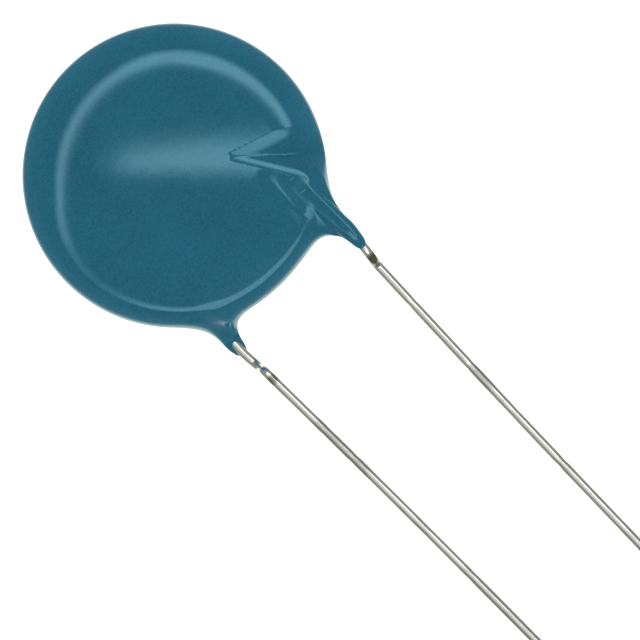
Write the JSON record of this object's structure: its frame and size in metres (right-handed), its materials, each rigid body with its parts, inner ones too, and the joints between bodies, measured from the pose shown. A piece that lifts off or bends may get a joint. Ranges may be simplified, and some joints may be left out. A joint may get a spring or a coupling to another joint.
{
  "type": "ceramic disc capacitor",
  "caption": "Round epoxy-dipped ceramic disc capacitor with two cranked wire leads that leave the same edge.",
  "frame": {"origin": "midway between the two leads at the seating plane, where their cranks end and their straight runs begin", "axes": "-Y along the leads away from the disc, +Z along the disc's axis out of its front face, +X towards the front lead's side"},
  "size_m": [0.0198, 0.0537, 0.0044],
  "materials": {
    "epoxy": "glossy dipped epoxy, dark teal blue",
    "tinned_wire": "bright tin, scuffed and dull in patches",
    "ceramic": "matte fired ceramic",
    "silver": "fired silver film",
    "solder": "smooth solder"
  },
  "bodies": {
    "root": {"ceramic_disc": "ceramic", "front_electrode": "silver", "back_electrode": "silver", "front_solder": "solder", "back_solder": "solder", "front_lead": "tinned_wire", "back_lead": "tinned_wire", "epoxy_coating": "epoxy"}
  },
  "joints": []
}
